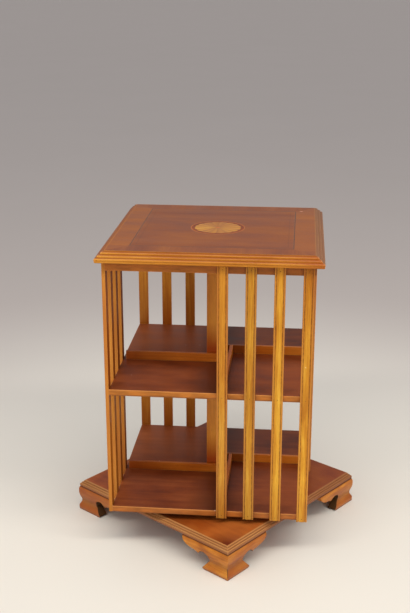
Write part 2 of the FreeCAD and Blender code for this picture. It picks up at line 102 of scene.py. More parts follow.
# Studio
WORLD_LIGHT = 0.58
WORLD_COLOUR = (0.97, 0.985, 1.0)
FLOOR_COLOUR = (0.85, 0.812, 0.748)
FAR_FLOOR_COLOUR = (0.60, 0.535, 0.51)
# painted falloff of light: the floor's colour fades from pale near the spindle to its far colour
FLOOR_FADE = (0.4, 1.9)  # how far from the spindle the floor dims to its far colour
FLOOR_SIZE = 400.0
BACKGROUND = tuple(WORLD_LIGHT * a * b for a, b in zip(WORLD_COLOUR, FAR_FLOOR_COLOUR))
LAMP_COLOUR = (1.0, 0.95, 0.86)
LAMP_TARGET = (0, 0, 0.35)
STRIP_PLACE = (0.3, -1.3, 2.6)
STRIP_SIZE = (4.4, 0.3)
STRIP_WATTS = 56
SOFT_LAMP_SIZE = (1.6, 1.6)
SOFT_LAMPS = {"left": ((-2.3, -2.0, 1.6), 9), "right": ((2.3, -2.0, 1.6), 15)}  # place and watts


# Directions

def turned(vector, quarter, base=False):
    """Direction of the front carried round to another side, and with the base where it rides there."""
    angle = quarter * math.pi / 2 + (BASE_TURN if base else 0)
    return Matrix.Rotation(angle, 3, "Z") @ Vector(vector)


# Shader helpers

def srgb(red, green, blue):
    """Linear colour of an sRGB one given in 0 to 255."""
    def linear(value):
        share = value / 255
        return share / 12.92 if share <= 0.04045 else ((share + 0.055) / 1.055) ** 2.4
    return (linear(red), linear(green), linear(blue), 1.0)


def shade(colour, share):
    return tuple(share * c for c in colour[:3]) + (1.0,)


OCCLUSION_SAMPLES = 6


class Shader:
    """Adds and links the nodes of one material."""

    def __init__(self, name):
        self.material = bpy.data.materials.new(name)
        self.material.use_nodes = True
        self.nodes = self.material.node_tree.nodes
        self.links = self.material.node_tree.links
        self.nodes.clear()
        coordinates = self.add("TexCoord")
        self.place = coordinates["Object"]
        self.normal = coordinates["Normal"]
        self.axes = self.add("SeparateXYZ", {"Vector": self.place})

    def add(self, kind, values=None, **settings):
        """Outputs of a new node. Values go to its inputs, as numbers or as another node's output."""
        node = self.nodes.new("ShaderNode" + kind)
        for key, value in settings.items():
            setattr(node, key, value)
        for key, value in (values or {}).items():
            self.feed(node.inputs[key], value)
        return node.outputs

    def feed(self, socket, value):
        if isinstance(value, bpy.types.NodeSocket):
            self.links.new(value, socket)
        else:
            socket.default_value = value

    def math(self, operation, a, b=0.0, c=0.0):
        return self.add("Math", {0: a, 1: b, 2: c}, operation=operation)[0]

    def scaled(self, vector, factors):
        return self.add("VectorMath", {0: vector, 1: factors}, operation="MULTIPLY")[0]

    def part(self, vector, direction):
        """How much of a vector lies along a direction."""
        return self.add("VectorMath", {0: vector, 1: direction}, operation="DOT_PRODUCT")["Value"]

    def length(self, vector):
        return self.add("VectorMath", {0: vector}, operation="LENGTH")["Value"]

    def distance(self, place, axes=(1, 1, 1)):
        """Distance from a place, measured along some of the axes."""
        away = self.add("VectorMath", {0: self.place, 1: place}, operation="SUBTRACT")[0]
        return self.length(self.scaled(away, axes))

    def from_spindle(self):
        return self.distance((0, 0, 0), axes=(1, 1, 0))

    def noise(self, vector, cells, detail=2.0, roughness=0.5):
        """Noise from 0 to 1, with that many cells to a metre along each axis."""
        values = {"Vector": self.scaled(vector, cells), "Scale": 1.0, "Detail": detail,
                  "Roughness": roughness}
        return self.add("TexNoise", values)["Fac"]

    def span(self, value, low, high, out_low=0.0, out_high=1.0):
        """Value carried from one span to another and held at its ends."""
        values = {"Value": value, "From Min": low, "From Max": high, "To Min": out_low,
                  "To Max": out_high}
        return self.add("MapRange", values)["Result"]

    def ridge(self, value, middle, half_width):
        """1 where value is at the middle, falling to 0 at half a width to each side."""
        away = self.math("ABSOLUTE", self.math("SUBTRACT", value, middle))
        return self.span(away, 0.0, half_width, 1.0, 0.0)

    def mix(self, factor, a, b, blend="MIX"):
        node = self.nodes.new("ShaderNodeMix")
        node.data_type = "RGBA"
        node.blend_type = blend
        self.feed(node.inputs["Factor"], factor)
        self.feed(node.inputs[6], a)
        self.feed(node.inputs[7], b)
        return node.outputs[2]

    def tinted(self, colour, tint, *shares):
        """Colour moved towards a tint by the product of some shares, each a number or a mask."""
        share = shares[0]
        for other in shares[1:]:
            share = self.math("MULTIPLY", share, other)
        return self.mix(share, colour, tint)

    def ramp(self, value, stops):
        node = self.nodes.new("ShaderNodeValToRGB")
        self.feed(node.inputs[0], value)
        elements = node.color_ramp.elements
        while len(elements) < len(stops):
            elements.new(0.5)
        for element, (place, colour) in zip(elements, stops):
            element.position = place
            element.color = colour
        return node.outputs[0]

    def hidden(self, reach, **settings):
        """How much of a point's surroundings within reach is closed to it."""
        values = {"Distance": reach}
        seen = self.add("AmbientOcclusion", values, samples=OCCLUSION_SAMPLES, **settings)["AO"]
        return self.math("SUBTRACT", 1.0, seen)

    def crevice(self, reach):
        """1 in the bottom of a narrow groove, 0 on open faces."""
        return self.hidden(reach)

    def arris(self, reach):
        """1 on a sharp outer edge, 0 on open faces."""
        return self.hidden(reach, inside=True, only_local=True)

    def bump(self, height, strength, distance):
        values = {"Height": height, "Strength": strength, "Distance": distance}
        return self.add("Bump", values)["Normal"]

    def finish(self, values):
        surface = self.add("BsdfPrincipled", values)[0]
        self.add("OutputMaterial", {"Surface": surface})
        return self.material


# Woods. Colours run from dark to light grain. Rings are cells to a metre across the log. Shares say
# how much the rings, the broad figure and the fine fibres move the tone.

WOODS = {
    "golden": {
        "colours": (srgb(178, 100, 18), srgb(216, 142, 38), srgb(240, 176, 66)),
        "rings": 260, "shares": (0.25, 0.55, 0.50), "roughness": 0.44, "coat": 0.0,
    },
    "moulding": {
        "colours": (srgb(150, 84, 15), srgb(188, 116, 28), srgb(212, 146, 50)),
        "rings": 240, "shares": (0.25, 0.55, 0.40), "roughness": 0.42, "coat": 0.04,
    },
    "edging": {
        "colours": (srgb(140, 88, 42), srgb(168, 112, 60), srgb(190, 138, 84)),
        "rings": 240, "shares": (0.22, 0.40, 0.30), "roughness": 0.38, "coat": 0.12,
    },
    "shelf": {
        "colours": (srgb(97, 38, 15), srgb(133, 62, 26), srgb(157, 82, 40)),
        "rings": 120, "shares": (0.18, 0.60, 0.18), "roughness": 0.46, "coat": 0.06,
        "figure": (10.0, 20.0, 20.0),
    },
    "foot": {
        "colours": (srgb(150, 76, 16), srgb(202, 122, 32), srgb(232, 160, 56)),
        "rings": 240, "shares": (0.20, 0.65, 0.40), "roughness": 0.36, "coat": 0.12,
        "figure": (16.0, 34.0, 34.0),
    },
    "base": {
        "colours": (srgb(124, 46, 12), srgb(162, 78, 24), srgb(186, 102, 38)),
        "rings": 110, "shares": (0.12, 0.60, 0.15), "roughness": 0.36, "coat": 0.12,
        "figure": (15.0, 18.0, 18.0),
    },
    "column": {
        "colours": (srgb(200, 116, 26), srgb(232, 150, 44), srgb(250, 174, 66)),
        "rings": 220, "shares": (0.20, 0.45, 0.30), "roughness": 0.38, "coat": 0.12,
    },
    "stop": {
        "colours": (srgb(164, 76, 14), srgb(202, 108, 26), srgb(224, 132, 42)),
        "rings": 220, "shares": (0.20, 0.45, 0.30), "roughness": 0.36, "coat": 0.12,
    },
    "top": {
        "colours": (srgb(114, 50, 14), srgb(136, 68, 20), srgb(154, 86, 30)),
        "rings": 150, "shares": (0.30, 0.50, 0.30), "roughness": 0.34, "coat": 0.12,
        "figure": (9.0, 14.0, 14.0),
    },
    "band": {
        "colours": (srgb(130, 62, 14), srgb(149, 79, 21), srgb(164, 94, 31)),
        "rings": 180, "shares": (0.15, 0.55, 0.22), "roughness": 0.34, "coat": 0.12,
    },
    "line": {
        "colours": (srgb(62, 26, 10), srgb(80, 36, 16), srgb(100, 50, 26)),
        "rings": 200, "shares": (0.30, 0.40, 0.40), "roughness": 0.30, "coat": 0.30,
    },
    "fan": {
        "colours": (srgb(180, 108, 20), srgb(206, 138, 36), srgb(224, 164, 62)),
        "rings": 300, "shares": (0.25, 0.45, 0.40), "roughness": 0.34, "coat": 0.15,
    },
    "pine": {
        "colours": (srgb(170, 120, 66), srgb(196, 150, 92), srgb(214, 174, 116)),
        "rings": 220, "shares": (0.60, 0.30, 0.30), "roughness": 0.72, "coat": 0.0,
    },
}

PITH_DISTANCE = 0.07  # from a piece's middle to the heart of its log
RING_SWAY = 0.012
FIGURE_CELLS = (6.0, 22.0, 22.0)
SWAY_CELLS = (2.6, 11.0, 11.0)
FIBRE_CELLS = (16.0, 420.0, 420.0)
PORE_CELLS = (70.0, 2400.0, 2400.0)
PORE_SPAN = (0.60, 0.72)
PORE_DARKNESS = 0.4
TONE_STOPS = (0.12, 0.5, 0.88)  # where the dark, the middle and the light grain lie
ROUGHNESS_SPREAD = (-0.05, 0.07)
BUMP_STRENGTH = 0.12
BUMP_DEPTH = 0.15 * MM
COAT_ROUGHNESS = 0.16
SHINE = 0.28
# Dirt with painted shade in crevices, and scuffing with a painted highlight on arrises
GRIME_AND_SHADE = srgb(58, 26, 8)
GRIME_AND_SHADE_REACH = 5 * MM
WORN_AND_HIGHLIT = srgb(224, 162, 96)
WEAR_AND_HIGHLIGHT_REACH = 1.6 * MM


def grain_space(shader, along, facing, seed):
    """Place in a piece: along the grain, across it and into the face, moved by the piece's seed."""
    along, facing = Vector(along).normalized(), Vector(facing).normalized()
    move = random.Random(seed)
    values = {
        "Vector": shader.place,
        "Rotation": Matrix((along, facing.cross(along), facing)).to_euler(),
        "Location": [move.uniform(-9, 9) for _ in range(3)],
    }
    return shader.add("Mapping", values)[0]


def wood(kind, along, facing, seed, *treatments, grime_and_shade=0.75, wear_and_highlight=0.35, shine=SHINE):
    """Polished wood with its grain along one direction, cut so that facing shows its figure.

    The two last shares say how dark its crevices are painted, with dirt and painted shade, and how
    pale its arrises are painted, with scuffing and a painted highlight.
    """
    look = WOODS[kind]
    s = Shader(f"{kind}_{seed}")
    local = grain_space(s, along, facing, seed)
    shift = local.node.inputs["Location"].default_value
    log = random.Random(seed + "_log")
    pith = [-shift[k] for k in range(3)]
    pith[1] += log.uniform(-0.35, 0.35) * PITH_DISTANCE
    pith[2] += log.uniform(0.8, 1.3) * PITH_DISTANCE

    from_pith = s.add("VectorMath", {0: local, 1: pith}, operation="ADD")[0]
    radius = s.length(s.scaled(from_pith, (0, 1, 1)))
    radius = s.math("MULTIPLY_ADD", s.noise(local, SWAY_CELLS, detail=1.0), RING_SWAY, radius)
    ring_values = {"W": s.math("MULTIPLY", radius, look["rings"]), "Scale": 1.0, "Detail": 2.0}
    rings = s.add("TexNoise", ring_values, noise_dimensions="1D")["Fac"]
    figure = s.noise(local, look.get("figure", FIGURE_CELLS), detail=2.0)
    fibres = s.noise(local, FIBRE_CELLS, detail=3.0, roughness=0.6)
    pores = s.span(s.noise(local, PORE_CELLS, detail=1.0), *PORE_SPAN)

    tone = 0.5
    for part, share in zip((rings, figure, fibres), look["shares"]):
        tone = s.math("ADD", s.math("MULTIPLY", s.math("SUBTRACT", part, 0.5), 2 * share), tone)
    colour = s.ramp(tone, list(zip(TONE_STOPS, look["colours"])))
    colour = s.tinted(colour, shade(look["colours"][0], 0.5), PORE_DARKNESS, pores)
    for treatment in treatments:
        colour = treatment(s, colour)
    # paler arrises: scuffing and a painted highlight
    if wear_and_highlight:
        worn_and_highlit = s.mix(0.7, colour, WORN_AND_HIGHLIT)
        colour = s.tinted(colour, worn_and_highlit, wear_and_highlight, s.span(s.arris(WEAR_AND_HIGHLIGHT_REACH), 0.1, 0.6))
    # darker crevices and junctions: dirt and painted shade
    if grime_and_shade:
        colour = s.tinted(colour, GRIME_AND_SHADE, grime_and_shade, s.span(s.crevice(GRIME_AND_SHADE_REACH), 0.25, 0.8))

    height = s.math("SUBTRACT", fibres, pores)
    low, high = (look["roughness"] + step for step in ROUGHNESS_SPREAD)
    return s.finish({
        "Base Color": colour,
        "Roughness": s.span(figure, 0.3, 0.7, low, high),
        "Specular IOR Level": shine,
        "Coat Weight": look["coat"],
        "Coat Roughness": COAT_ROUGHNESS,
        "Normal": s.bump(height, BUMP_STRENGTH, BUMP_DEPTH),
    })


# Colours that polish, wear and dirt gave the pieces, and painted light and shade

TINTS = {
    # painted shade and painted light on the shelves
    "shelf_shade_by_column": srgb(62, 26, 12),
    "shelf_front": srgb(66, 28, 14),
    "shelf_left": srgb(190, 108, 56),
    "shelf_right": srgb(186, 96, 46),
    # painted highlight and painted shadow on the shelves' lips
    "lip_highlight": srgb(220, 152, 82),
    "lip_shadow": srgb(104, 52, 14),
    "slat_edge": srgb(188, 118, 62),
    "slat_bead": srgb(196, 118, 52),
    # old polish and painted shade in the slats' quirks
    "slat_quirk": srgb(120, 58, 12),
    # painted shade on the slats' inner sides
    "slat_inside": srgb(128, 52, 8),
    "slat_foot": srgb(150, 80, 22),
    "top_upper_members": srgb(140, 68, 20),
    "top_right_corner": srgb(158, 76, 24),
    "top_grey": srgb(130, 100, 76),
    "second_line": srgb(84, 40, 18),
    # red stain and painted bounce light low on the column
    "column_low": srgb(178, 76, 18),
    # painted shadow on the frieze
    "frieze_right_shadow": srgb(106, 54, 18),
    "base_corner": srgb(98, 34, 12),
    # painted shadow and painted highlight on the base's field
    "base_left": srgb(82, 32, 14),
    "base_corner_highlight": srgb(214, 134, 66),
    "base_right": srgb(110, 40, 14),
    # scuffing with a painted highlight on the crowns, old polish with painted shade in the gaps
    "reed_crown_scuffed_and_lit": srgb(220, 156, 98),
    "reed_gap_polish_and_shade": srgb(136, 70, 26),
    "under_reeds": srgb(132, 58, 24),
    "bracket_red": srgb(150, 70, 28),
    # painted shade in the waist
    "bracket_waist": srgb(116, 76, 30),
    "bracket_joint": srgb(84, 38, 12),
    # unfinished wood and painted shade at the arch's edges, sawn faces and backs
    "bracket_arris": srgb(96, 50, 20),
    "bracket_sawn": srgb(66, 50, 32),
    "open_mitre": srgb(46, 22, 12),
    "sand_shading": srgb(132, 74, 22),
    # painted sheen on the fan's petals
    "petal_without_sheen": srgb(150, 84, 34),
}

# Polish of the edges that are lipped
LIPS = {
    "lower_shelf": srgb(180, 104, 40),
    "middle_shelf": srgb(190, 114, 40),
    "deck": srgb(184, 106, 34),
}
LIP_PATCH_CELLS = (28, 28, 120)
LIP_SHADES = (0.66, 1.1)

# Other polish along a book stop, and painted shade at the right stops' inner end: where from the axis
# it starts, where it is full, and its colour
STOP_ENDS = {
    "front": [(40 * MM, 160 * MM, srgb(108, 38, 12))],
    # the right stops' second end is painted shade at their inner end
    "right": [(90 * MM, 205 * MM, srgb(204, 120, 36)), (100 * MM, 55 * MM, srgb(98, 44, 14))],
}
USUAL_STOP_ENDS = [(90 * MM, 205 * MM, srgb(118, 36, 10))]

# How much painted shade a slat's inner side keeps at the top of its tier
INNER_SHADE = {"left": 0.6}
USUAL_INNER_SHADE = 0.1

# How far a bracket's colour moves to red, at the floor and at its top
BRACKET_REDNESS = {
    "foot_front_left_bracket": (0.35, 0.0),
    "foot_front_right_bracket": (0.75, 0.45),
    "foot_left_right_bracket": (0.8, 0.7),
}
USUAL_BRACKET_REDNESS = (0.6, 0.3)

# Slats whose colours are scaled, by these factors low and high on the slat
SLAT_TONES = {
    "slat_front_1": ((0.80, 0.82, 0.86), (0.87, 0.86, 0.78)),
    "slat_front_2": ((0.88, 1.02, 1.05), (0.84, 0.97, 0.95)),
    "slat_front_3": ((1.04, 1.22, 1.05), (0.90, 0.97, 0.84)),
    "slat_front_4": ((1.16, 1.40, 1.34), (0.78, 0.75, 0.58)),
    "slat_back_4": ((1.00, 1.00, 1.00), (1.25, 1.32, 1.35)),
    "slat_back_3": ((1.00, 0.92, 0.95), (1.20, 1.17, 1.00)),
}

# Chips and scuffed spots that show in the photo, and painted highlights: place, radius and colour
MARKS = {
    "slat_front_4": [((0.2063, -0.2280, 0.4625), 1.8 * MM, srgb(246, 222, 176))],
    "lower_shelf": [((0.0137, -0.2195, 0.1070), 3.0 * MM, srgb(232, 176, 140))],
    "middle_shelf": [
        # painted highlights: three tiny pale specks on the middle shelf
        ((-0.0829, 0.0722, 0.3922), 1.6 * MM, srgb(206, 176, 164)),
        ((-0.0488, 0.0755, 0.3922), 1.6 * MM, srgb(206, 176, 164)),
        ((-0.1839, -0.1324, 0.3922), 1.4 * MM, srgb(190, 160, 150)),
    ],
    "book_stop_lower_left": [((-0.1379, -0.0290, 0.1268), 2.2 * MM, srgb(226, 170, 130))],
    "crossband_right": [((0.1880, 0.1782, 0.7066), 5.0 * MM, srgb(216, 150, 124))],
}

LEFT_SLAT_SHINE = 0.08  # the others have SHINE
QUIRK_CELLS = (40, 40, 110)
MARK_CELLS = (900, 900, 900)


# Treatments: what the maker and the years did to a piece's colour, and the light and shade painted
# into it

def upright(s):
    """1 on a board's edges, 0 on its broad faces."""
    return s.span(s.math("ABSOLUTE", s.part(s.normal, Z)), 0.85, 0.95, 1.0, 0.0)


def height_over(s, top):
    """Height over a shelf, and a mask that is 1 above the shelf."""
    height = s.math("SUBTRACT", s.axes["Z"], top)
    return height, s.math("GREATER_THAN", height, 0.0)


def lipped(node):
    """A lipping, or a lighter polish, on a board's edges."""
    def treat(s, colour):
        dark, light = (shade(LIPS[node], share) for share in LIP_SHADES)
        patches = s.span(s.noise(s.place, LIP_PATCH_CELLS), 0.3, 0.7)
        return s.mix(upright(s), colour, s.mix(patches, dark, light))
    return treat


def lip_light_and_shade(top):
    """A painted highlight along the edges' upper arris and a painted shadow along the lower one."""
    def treat(s, colour):
        pale = s.span(s.axes["Z"], top - 3.2 * MM, top - 1.0 * MM)
        dull = s.span(s.axes["Z"], top - 10 * MM, top - 13 * MM)
        # painted highlight on the upper arris, painted shadow along the lower
        colour = s.tinted(colour, TINTS["lip_highlight"], 0.42, pale, upright(s))
        return s.tinted(colour, TINTS["lip_shadow"], 0.5, dull, upright(s))
    return treat


def shelf_light_and_shade(s, colour):
    """A shelf's painted shade beside the column, darker at its front, and painted light at its back
    left and front right.
    """
    x, y = s.axes["X"], s.axes["Y"]
    # painted shade beside the column
    colour = s.tinted(colour, TINTS["shelf_shade_by_column"], 0.75, s.ridge(x, 12 * MM, 70 * MM))
    colour = s.tinted(colour, TINTS["shelf_front"], 0.25, s.span(y, -120 * MM, -200 * MM))
    left, behind = s.span(x, 0.0, -50 * MM), s.span(y, -20 * MM, 80 * MM)
    # painted light at the back left and at the front right
    colour = s.tinted(colour, TINTS["shelf_left"], 0.3, left, behind)
    right, before = s.span(x, 50 * MM, 160 * MM), s.span(y, 0.0, -50 * MM)
    return s.tinted(colour, TINTS["shelf_right"], 0.2, right, before)


def shaded_frieze(s, colour):
    """Painted shadow on the frieze's right half, behind the slats."""
    # painted shadow on the right half
    return s.tinted(colour, TINTS["frieze_right_shadow"], 0.35, s.span(s.axes["X"], -10 * MM, 30 * MM))


def red_stain_and_bounce(s, colour):
    """Deep red low on the column, over each shelf: part red stain, part painted light bounced from the
    red shelf.
    """
    for top in SHELF_TOPS:
        height, above = height_over(s, top)
        # red stain and painted bounce light from the shelf
        colour = s.tinted(colour, TINTS["column_low"], s.span(height, 95 * MM, 30 * MM), above)
    return colour


def beaded(out, side, centre):
    """Duller edges and side beads on a slat, and dark lines in the quirks beside the beads: old polish
    and painted shade.
    """
    def treat(s, colour):
        edge = s.span(s.math("ABSOLUTE", s.part(s.normal, side)), 0.7, 0.9)
        face = s.span(s.part(s.normal, out), 0.0, 0.3)
        across = s.math("ABSOLUTE", s.math("SUBTRACT", s.part(s.place, side), centre))
        quirk = SLAT_WIDTH / 2 - SLAT_BEAD - 0.5 * MM
        bead = s.span(across, quirk, quirk + 1.0 * MM)
        line = s.ridge(across, quirk, 1.6 * MM)
        broken = s.span(s.noise(s.place, QUIRK_CELLS, detail=4.0), 0.38, 0.62, 0.2, 0.8)
        colour = s.tinted(colour, TINTS["slat_edge"], 0.6, edge)
        colour = s.tinted(colour, TINTS["slat_bead"], 0.6, bead, face)
        # dark quirk lines: old polish and painted shade
        return s.tinted(colour, TINTS["slat_quirk"], line, face, broken)
    return treat


def shaded_within(out, least):
    """Painted shade on the inner side of a slat, red and deepest over each shelf."""
    def treat(s, colour):
        inner = s.span(s.part(s.normal, out), -0.3, -0.8)
        for top in SHELF_TOPS:
            height, above = height_over(s, top)
            redness = s.span(height, 0.0, 0.6 * TIER_HEIGHT, 0.75, least)
            # red painted shade on the inner side, deepest over the shelf
            colour = s.tinted(colour, TINTS["slat_inside"], redness, above, inner)
        return colour
    return treat


def darker_near_foot(s, colour):
    """Darker near the foot of a slat."""
    low = s.span(s.axes["Z"], SHELF_TOPS[0] + 90 * MM, SHELF_TOPS[0] - 20 * MM)
    return s.tinted(colour, TINTS["slat_foot"], 0.4, low)


def toned(low, high):
    """A slat's colour scaled by a factor that changes up its length."""
    def treat(s, colour):
        height = s.span(s.axes["Z"], SHELF_TOPS[0], TOP_HEIGHT)
        return s.mix(1.0, colour, s.mix(height, low + (1.0,), high + (1.0,)), blend="MULTIPLY")
    return treat


def ended(along, near, far, tint):
    """Other polish, and on the right stops painted shade, towards one end of a book stop."""
    def treat(s, colour):
        return s.tinted(colour, tint, 0.7, s.span(s.part(s.place, along), near, far))
    return treat


def dark_above(s, colour):
    """The top's brown polish on the members that face up."""
    up = s.span(s.part(s.normal, Z), 0.45, 0.8)
    return s.tinted(colour, TINTS["top_upper_members"], 0.8, up)


def red_corner(s, colour):
    """Redder polish towards the top's front right corner."""
    return s.tinted(colour, TINTS["top_right_corner"], 0.6, s.span(s.axes["X"], 150 * MM, 235 * MM))


def greyed(s, colour):
    """Greyer on the top's right moulding."""
    return s.tinted(colour, TINTS["top_grey"], 0.5)


TOP_MOULDING_MARKS = {"front": [red_corner], "right": [greyed]}


def second_line(s, colour):
    """Faint second line inside the stringing."""
    reach = s.math("MAXIMUM", s.math("ABSOLUTE", s.axes["X"]), s.math("ABSOLUTE", s.axes["Y"]))
    return s.tinted(colour, TINTS["second_line"], 0.35, s.ridge(reach, SECOND_LINE, 1.5 * MM))


def lit_and_shaded_field(s, colour):
    """Painted shadow on the base's field at the left, under the case, and a painted highlight behind
    its front corner.
    """
    x, y = s.axes["X"], s.axes["Y"]
    # painted shadow at the left, painted highlight behind the front corner
    colour = s.tinted(colour, TINTS["base_left"], 0.55, s.ridge(x, -80 * MM, 80 * MM))
    right, before = s.span(x, -20 * MM, 40 * MM), s.span(y, -170 * MM, -230 * MM)
    return s.tinted(colour, TINTS["base_corner_highlight"], 0.28, right, before)


def red_by_corner(s, colour):
    """Dark red polish in the front corner of the base's field."""
    corner = turned((BASE_FIELD_HALF, -BASE_FIELD_HALF, 0), 0, base=True)
    near = s.span(s.distance(corner, axes=(1, 1, 0)), 60 * MM, 10 * MM)
    return s.tinted(colour, TINTS["base_corner"], 0.95, near)


def redder_right(s, colour):
    """Darker red on the base's right half."""
    return s.tinted(colour, TINTS["base_right"], 0.45, s.span(s.axes["X"], 80 * MM, 240 * MM))


def reeded(out):
    """Darker between the reeds of the base's edge, as old polish and painted shade, darker under them,
    and paler crowns, as scuffing and a painted highlight.
    """
    def treat(s, colour):
        width = (BASE_HALF - BASE_FIELD_HALF) / BASE_REEDS
        from_field = s.math("SUBTRACT", s.part(s.place, out), BASE_FIELD_HALF)
        turn = s.math("FRACT", s.math("DIVIDE", from_field, width))
        from_crown = s.math("ABSOLUTE", s.math("SUBTRACT", turn, 0.5))
        reeds = s.math("GREATER_THAN", s.axes["Z"], BASE_EDGE_TOP)
        under = s.math("SUBTRACT", 1.0, reeds)
        # paler crowns: scuffing and a painted highlight
        colour = s.tinted(colour, TINTS["reed_crown_scuffed_and_lit"], 0.5, s.span(from_crown, 0.3, 0.0), reeds)
        colour = s.tinted(colour, TINTS["under_reeds"], 0.55, under)
        # darker gaps: old polish and painted shade
        return s.tinted(colour, TINTS["reed_gap_polish_and_shade"], 0.3, s.span(from_crown, 0.3, 0.48), reeds)
    return treat


def bracketed(out, side, red_low, red_high):
    """Redder towards the floor, painted shade in the waist, and dark on the back and on the arch's
    sawn edge, as unfinished wood and painted shade.
    """
    def treat(s, colour):
        z = s.axes["Z"]
        redness = s.span(z, 4 * MM, 0.7 * FOOT_HEIGHT, red_low, red_high)
        waist = s.ridge(z, WAIST_RISE + 3 * MM, 13 * MM)
        joint = s.span(z, FOOT_HEIGHT - 2.5 * MM, FOOT_HEIGHT - 1.0 * MM)
        sole = s.span(z, 2.5 * MM, 0.5 * MM)
        colour = s.tinted(colour, TINTS["bracket_red"], redness)
        # painted shade in the concave waist
        colour = s.tinted(colour, TINTS["bracket_waist"], 0.35, waist)
        colour = s.tinted(colour, TINTS["bracket_joint"], 0.85, joint)
        colour = s.tinted(colour, TINTS["bracket_joint"], 0.6, sole)

        from_corner = s.math("SUBTRACT", BASE_HALF, s.part(s.place, side))
        in_arch = s.math("LESS_THAN", from_corner, CUSP_LENGTH)
        past_corner = s.math("GREATER_THAN", from_corner, 4 * MM)
        edge = s.span(s.arris(2 * MM), 0.15, 0.5)
        # dark arch edges: unfinished wood and painted shade
        colour = s.tinted(colour, TINTS["bracket_arris"], 0.55, edge, in_arch, past_corner)

        unshaped = s.span(s.part(s.normal, out), 0.25, 0.05)
        back = s.math("LESS_THAN", s.part(s.normal, out), -0.5)
        hidden = s.math("MAXIMUM", in_arch, back)
        # dark sawn faces and back: unfinished wood and painted shade
        return s.tinted(colour, TINTS["bracket_sawn"], 0.9, unshaped, hidden)
    return treat


def open_mitre(out, side):
    """Dark line where a foot's mitre has opened, from its toe to its waist."""
    def treat(s, colour):
        apart = s.math("ABSOLUTE", s.math("SUBTRACT", s.part(s.place, out), s.part(s.place, side)))
        line = s.span(apart, 1.6 * MM, 0.5 * MM)
        over_toe = s.span(s.axes["Z"], 5 * MM, 9 * MM)
        under_waist = s.span(s.axes["Z"], WAIST_RISE + 4 * MM, WAIST_RISE)
        return s.tinted(colour, TINTS["open_mitre"], 0.85, line, over_toe, under_waist)
    return treat


def marked(node):
    """Small chips, scuffed spots and painted highlights of one piece."""
    def treat(s, colour):
        for place, radius, tint in MARKS.get(node, []):
            ragged = s.math("MULTIPLY_ADD", s.noise(s.place, MARK_CELLS), radius, s.distance(place))
            colour = s.tinted(colour, tint, 0.8, s.span(ragged, 1.5 * radius, 0.8 * radius))
        return colour
    return treat


# Metals: the colour, the roughness and the pieces of each

METALS = {
    "steel": (
        srgb(150, 148, 145), 0.32, ["spindle", "spindle_nut", "spindle_screws", "top_screws"],
    ),
    "bearing_steel": (
        srgb(190, 190, 192), 0.15, ["bearing_lower_race", "bearing_upper_race", "bearing_balls"],
    ),
    "brass": (srgb(190, 150, 80), 0.28, ["spindle_bushes", "bearing_cage"]),
    "old_nails": (srgb(104, 66, 30), 0.5, ["slat_pins"]),
}
LATHE_CELLS = 4000
TARNISH_CELLS = (60, 60, 60)


def metal(name, colour, roughness):
    """Turned metal with fine rings round the spindle and slight tarnish."""
    s = Shader(name)
    values = {"W": s.math("MULTIPLY", s.from_spindle(), LATHE_CELLS), "Scale": 1.0, "Detail": 2.0}
    lathe_marks = s.add("TexNoise", values, noise_dimensions="1D")["Fac"]
    tarnish = s.noise(s.place, TARNISH_CELLS, detail=3.0)
    return s.finish({
        "Base Color": s.mix(s.span(tarnish, 0.45, 0.75), colour, shade(colour, 0.55)),
        "Metallic": 1.0,
        "Roughness": s.span(tarnish, 0.3, 0.7, roughness, roughness + 0.15),
        "Normal": s.bump(lathe_marks, 0.15, 0.1 * MM),
    })


# What each piece is made of

def paint(node, material):
    """Gives a CAD node its material."""
    for slot in frame["nodes"][node].material_slots:
        slot.material = material


def paint_boards():
    """Shelves, frieze board and column."""
    for node, top in zip(("lower_shelf", "middle_shelf"), SHELF_TOPS):
        marks = [shelf_light_and_shade, lipped(node), lip_light_and_shade(top), marked(node)]
        paint(node, wood("shelf", X, Z, node, *marks))
    paint("deck", wood("shelf", X, Z, "deck", lipped("deck"), shaded_frieze))
    paint("column", wood("column", Z, -Y, "column", red_stain_and_bounce))


def paint_top():
    paint("top_board", wood("top", X, Z, "top_board", second_line))
    paint("top_stringing", wood("line", X, Z, "top_stringing", wear_and_highlight=0))
    for quarter, face in enumerate(FACES):
        out, side = turned(-Y, quarter), turned(X, quarter)
        node = f"top_moulding_{face}"
        marks = [dark_above] + TOP_MOULDING_MARKS.get(face, [])
        paint(node, wood("moulding", side, out, node, *marks, grime_and_shade=0.5, wear_and_highlight=0.45))


def paint_slats():
    for quarter, face in enumerate(FACES):
        out, side = turned(-Y, quarter), turned(X, quarter)
        inner = shaded_within(out, INNER_SHADE.get(face, USUAL_INNER_SHADE))
        shine = LEFT_SLAT_SHINE if face == "left" else SHINE
        for k in range(SLATS_PER_FACE):
            centre = SLAT_OUTER_CENTRE - SLAT_PITCH * (SLATS_PER_FACE - 1 - k)
            node = f"slat_{face}_{k + 1}"
            marks = [beaded(out, side, centre), inner, darker_near_foot, marked(node)]
            if node in SLAT_TONES:
                marks.append(toned(*SLAT_TONES[node]))
            paint(node, wood("golden", Z, out, node, *marks, grime_and_shade=0, shine=shine))


def paint_stops():
    for quarter, face in enumerate(FACES):
        out, side = turned(-Y, quarter), turned(X, quarter)
        ends = [ended(out, *end) for end in STOP_ENDS.get(face, USUAL_STOP_ENDS)]
        for tier in TIERS:
            node = f"book_stop_{tier}_{face}"
            paint(node, wood("stop", out, side, node, *ends, marked(node), wear_and_highlight=0.7))


